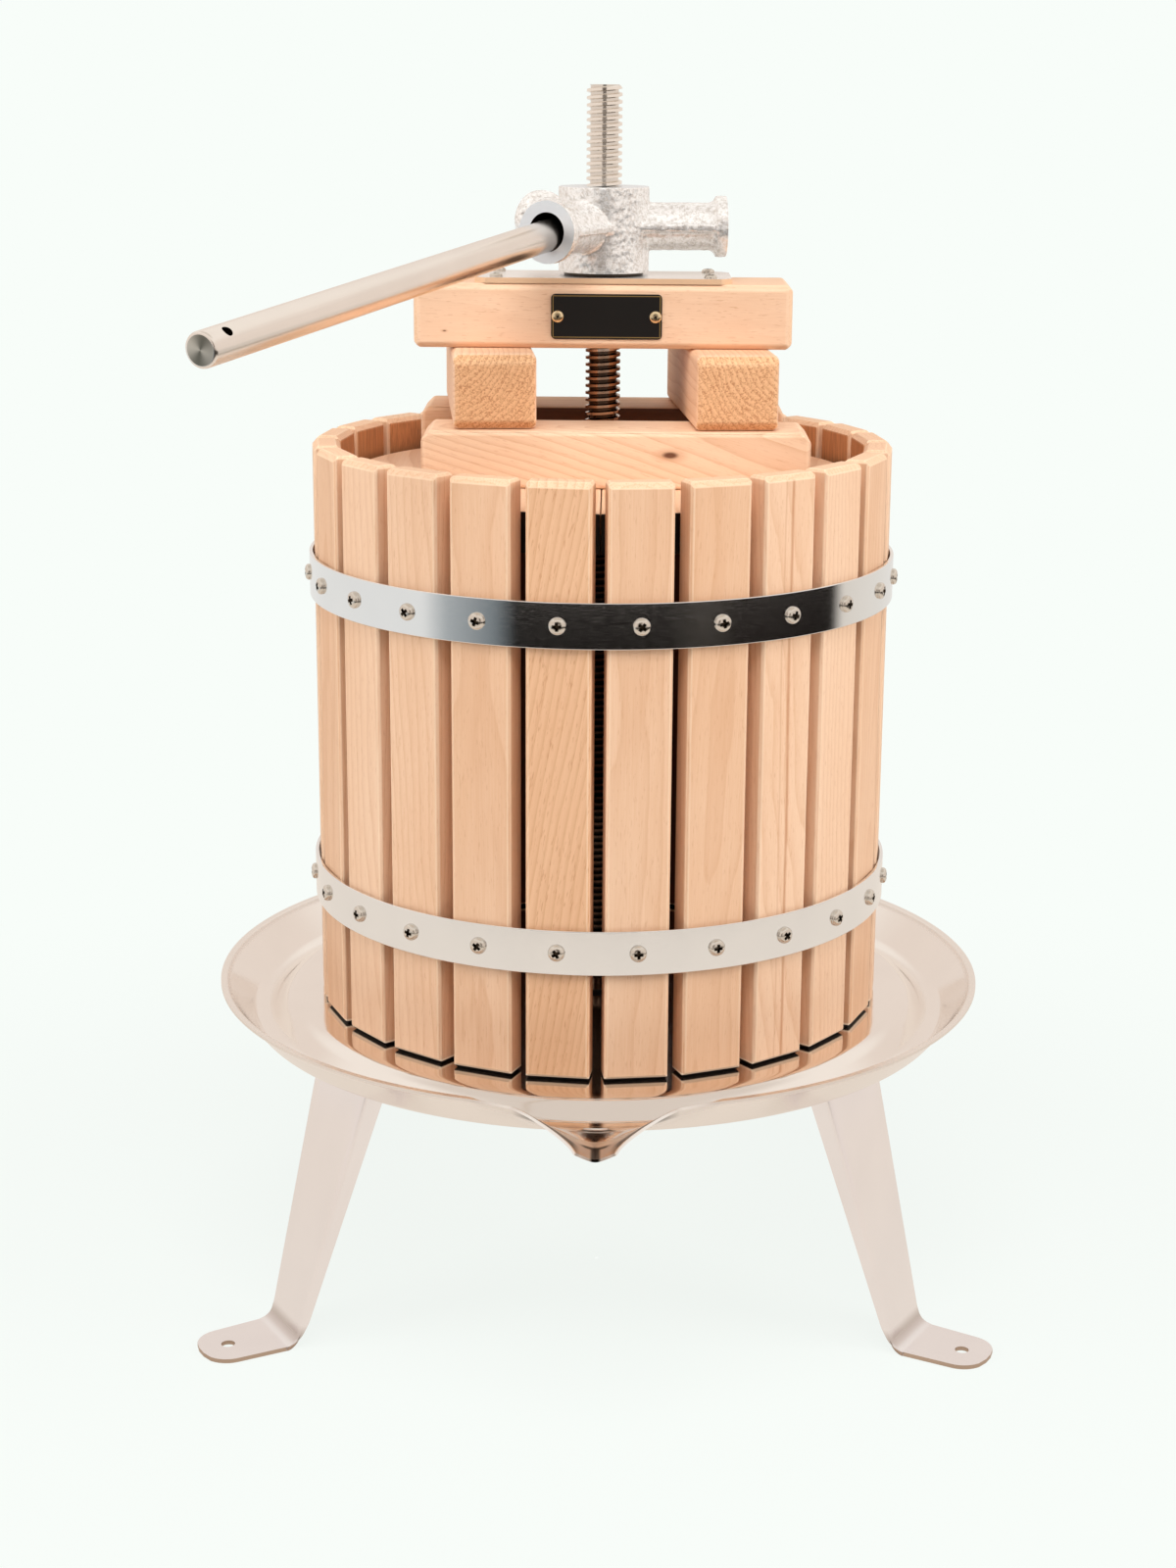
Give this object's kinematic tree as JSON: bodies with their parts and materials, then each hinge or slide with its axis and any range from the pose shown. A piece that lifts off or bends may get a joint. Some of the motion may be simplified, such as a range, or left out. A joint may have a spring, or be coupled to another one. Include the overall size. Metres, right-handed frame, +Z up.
{
  "type": "fruit press",
  "caption": "Basket press for fruit: slatted wooden basket in a steel juice tray on sheet legs, with a threaded spindle, pressing wood and a hub turned by a bar.",
  "frame": {"origin": "on the floor under the spindle, at the centre of the circle of the three foot holes", "axes": "+Z up along the spindle, the juice spout points along -Y, +X is to the right seen from the spout"},
  "size_m": [0.4628, 0.6167, 0.712],
  "materials": {
    "staves": "planed beech, clear oiled, satin",
    "press_wood": "planed beech, bare, matt",
    "hoops": "stainless strip, bright",
    "screws": "zinc plated, bright",
    "brass_screws": "bright",
    "tray": "pressed stainless sheet, polished",
    "legs": "folded stainless sheet, mill finish",
    "plain_steel": "zinc plated, satin",
    "bearing": "stainless plate, satin",
    "spindle": "turned steel with a rolled thread, bright",
    "seal": "matt",
    "nameplate": "thin sheet in black enamel, bare, gloss",
    "cast_hub": "rough casting, bright zinc plated",
    "bar": "drawn round bar, satin"
  },
  "bodies": {
    "base": {"stave_01": "staves", "stave_02": "staves", "stave_03": "staves", "stave_04": "staves", "stave_05": "staves", "stave_06": "staves", "stave_07": "staves", "stave_08": "staves", "stave_09": "staves", "stave_10": "staves", "stave_11": "staves", "stave_12": "staves", "stave_13": "staves", "stave_14": "staves", "stave_15": "staves", "stave_16": "staves", "stave_17": "staves", "stave_18": "staves", "stave_19": "staves", "stave_20": "staves", "stave_21": "staves", "stave_22": "staves", "stave_23": "staves", "stave_24": "staves", "upper_hoop": "hoops", "lower_hoop": "hoops", "upper_hoop_screws": "screws", "lower_hoop_screws": "screws", "tray": "tray", "base_plate": "plain_steel", "leg_front_left": "legs", "leg_front_right": "legs", "leg_rear": "legs", "leg_bolts": "screws", "spindle": "spindle", "spindle_seal": "seal", "base_washer": "plain_steel", "base_nut": "plain_steel"},
    "press_stack": {"disc_left": "press_wood", "disc_right": "press_wood", "front_batten": "press_wood", "rear_batten": "press_wood", "left_block": "press_wood", "right_block": "press_wood", "crossbeam": "press_wood", "bearing_plate": "bearing", "bearing_plate_screws": "screws", "nameplate": "nameplate", "nameplate_screws": "brass_screws", "thrust_washer": "plain_steel"},
    "hub": {"hub": "cast_hub"},
    "handle": {"handle": "bar"}
  },
  "joints": [
    {"name": "press_travel", "type": "slide", "parent": "base", "child": "press_stack", "axis": [0, 0, 1], "range_m": [-0.0945, 0]},
    {"name": "hub_turn", "type": "hinge", "parent": "press_stack", "child": "hub", "pos_m": [0, 0, 0.6345], "axis": [0, 0, 1], "range_deg": [-8460, 0]},
    {"name": "handle_pull", "type": "slide", "parent": "hub", "child": "handle", "axis": [-0.4439, -0.8904, -0.1007], "range_m": [0, 0.06]}
  ],
  "couplings": [
    {"joint": "press_travel", "follows": "hub_turn", "m_per_rad": 0.00063662}
  ]
}
